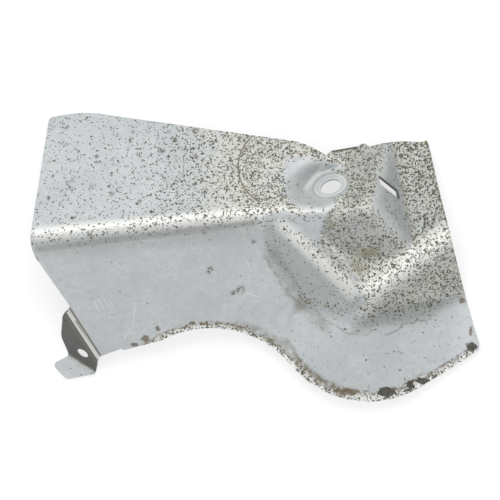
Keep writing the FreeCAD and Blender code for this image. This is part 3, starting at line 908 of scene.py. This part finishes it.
# painted shade with dirt beside the tab's bend
marks = g.most(marks, g.times(g.lines(level, "tabFoldShade"), 0.9))
# painted highlight along the tab's bend
tone = g.paint(tone, g.times(g.lines(level, "tabBeadSheen"), 0.8), "sheenAndRub")
tone = g.paint(tone, marks, "dirtAndShade")

# painted shade with dirt in creases, painted shade below the fold, dirt below the boss, painted shadow on
# the slot rim, dark edges, rust along the lip, bare flakes
# painted shade on the cheek beside its crease, in patches
valleyShade = g.times(g.lines(level, "valleyShade"), g.step(g.noise(where, 12.0, 4.0), 0.22, 0.60))
thin = g.times(g.lines(wavy, "thin"), g.step(patch, 0.36, 0.58))
oldDirt = g.times(g.lines(level, "oldDirt"), g.step(g.noise(where, 16.0, 4.0), 0.34, 0.58))
rightRim = g.times(g.lines(level, "rightRim"), g.step(patch, 0.36, 0.56))
# painted dark band below the top fold
foldShade = g.most(g.times(g.lines(level, "foldShadeBand"), 0.4), g.lines(level, "foldShadeLine"))
# painted crease shade with dirt, in patches
patchyCreaseShade = g.times(g.mask("creaseShadeAndDirt"), g.step(patch, 0.30, 0.64))
flakeNoise = g.times(g.noise(where, 40.0, 5.0, 0.75), 5.0)
ragged = g.maths("ADD", g.times(g.mask("flake"), 1.6), flakeNoise)
bare = g.times(g.step(ragged, 3.25, 3.37), g.step(g.mask("flake"), 0.05, 0.25))
raggedStain = g.maths("ADD", g.mask("stain"), g.times(g.noise(where, 52.0, 5.0, 0.8), 2.6))
stained = g.step(raggedStain, 1.76, 2.00)
coats = [
    (valleyShade, 0.40, "dirtAndShade"), (thin, 0.48, "dirtAndShade"), (oldDirt, 0.62, "olive"),
    # painted shadow on the slot's far rim, in the flake colour
    (g.lines(level, "slotRimShadow"), 0.9, "flake"), (rightRim, 0.45, "rust"),
    (g.lines(level, "backEdge"), 0.8, "flake"), (foldShade, 0.42, "dirtAndShade"), (patchyCreaseShade, 0.60, "dirtAndShade"),
    (lipFilm, 0.55, "dirtAndShade"), (lipDirt, 0.80, "rust"), (stained, 0.78, "rust"), (bare, 0.92, "flake"),
]
for amount, strength, colour in coats:
    tone = g.paint(tone, g.times(amount, strength), colour)
g.feed(shader.inputs["Base Color"], tone)
marred = g.most(pits, lipDirt, patchyCreaseShade, bare)
g.feed(shader.inputs["Metallic"], g.times(g.maths("SUBTRACT", 1.0, marred), sheetLook["metal"]))
roughness = g.maths("ADD", g.times(marred, sheetLook["marredRough"]), sheetLook["rough"])
g.feed(shader.inputs["Roughness"], roughness)
relief = g.add("ShaderNodeBump")
relief.inputs["Strength"].default_value = sheetLook["relief"]
relief.inputs["Distance"].default_value = sheetLook["reliefDepth"]
waves = g.times(g.noise(where, 9.0, 2.0), 0.6)
g.feed(relief.inputs["Height"], g.maths("SUBTRACT", waves, pits))
g.feed(shader.inputs["Normal"], relief.outputs[0])
mesh.materials.append(sheetPaint)
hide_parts("shield_plate")
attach(skin, "root")
print("sheet material ready")

studio = {
    "sky": 0.85,                        # even light from all round
    "topPower": 15.0,                   # large box above and behind
    "topPlace": (-0.10, 0.90, 1.45),
    "topWide": 0.8,
    "fillPower": 0.6,                   # small box at the right
    "fillPlace": (0.9, -0.2, 1.1),
    "fillWide": 0.6,
    "floor": 0.96,                      # grey of the floor
    "floorWide": 6.0,
    "floorDrop": 0.0004,
    "floorRough": 0.9,
    "glow": 0.7,                        # share of plain white that the floor shows to camera and mirror rays
}
floorPlace = (0.0, 0.0, -studio["floorDrop"])
bpy.ops.mesh.primitive_plane_add(size=studio["floorWide"], location=floorPlace)
floor = bpy.context.object
floor.name = "floor"
floorPaint = bpy.data.materials.new("floorPaint")
floorPaint.use_nodes = True
floorShader = floorPaint.node_tree.nodes["Principled BSDF"]
floorShader.inputs["Base Color"].default_value = (studio["floor"], studio["floor"], studio["floor"], 1.0)
floorShader.inputs["Roughness"].default_value = studio["floorRough"]
floorGraph = Graph(floorPaint.node_tree)
glow = floorGraph.add("ShaderNodeEmission")
rays = floorGraph.add("ShaderNodeLightPath").outputs
seen = floorGraph.most(rays["Is Camera Ray"], rays["Is Glossy Ray"], rays["Is Transmission Ray"])
blend = floorGraph.add("ShaderNodeMixShader")
floorGraph.feed(blend.inputs[0], floorGraph.times(seen, studio["glow"]))
floorGraph.feed(blend.inputs[1], floorShader.outputs[0])
floorGraph.feed(blend.inputs[2], glow.outputs[0])
floorGraph.feed(floorPaint.node_tree.nodes["Material Output"].inputs[0], blend.outputs[0])
floor.data.materials.append(floorPaint)
world = bpy.data.worlds.new("studio")
scene.world = world
world.use_nodes = True
world.node_tree.nodes["Background"].inputs["Color"].default_value = (1.0, 1.0, 1.0, 1.0)
world.node_tree.nodes["Background"].inputs["Strength"].default_value = studio["sky"]


def softBox(name, place, wide, power):
    lamp = bpy.data.lights.new(name, "AREA")
    lamp.size = wide
    lamp.energy = power
    box = bpy.data.objects.new(name, lamp)
    scene.collection.objects.link(box)
    box.location = place
    box.rotation_euler = (-Vector(place)).to_track_quat("-Z", "Y").to_euler()


softBox("topBox", studio["topPlace"], studio["topWide"], studio["topPower"])
softBox("fillBox", studio["fillPlace"], studio["fillWide"], studio["fillPower"])
print("stage ready")

viewer = {"reach": 5.0, "field": 0.26, "depth": -0.02, "sensor": 36.0}
cameraData = bpy.data.cameras.new("camera")
camera = bpy.data.objects.new("camera", cameraData)
scene.collection.objects.link(camera)
eye = drawTurn @ Vector((0.0, 0.0, viewer["reach"] + viewer["depth"])) + drawShift
camera.matrix_world = Matrix.Translation(eye) @ drawTurn.to_4x4()
cameraData.sensor_width = viewer["sensor"]
cameraData.lens = viewer["sensor"] * viewer["reach"] / viewer["field"]
scene.camera = camera
scene.view_settings.view_transform = "Standard"
print("camera ready")
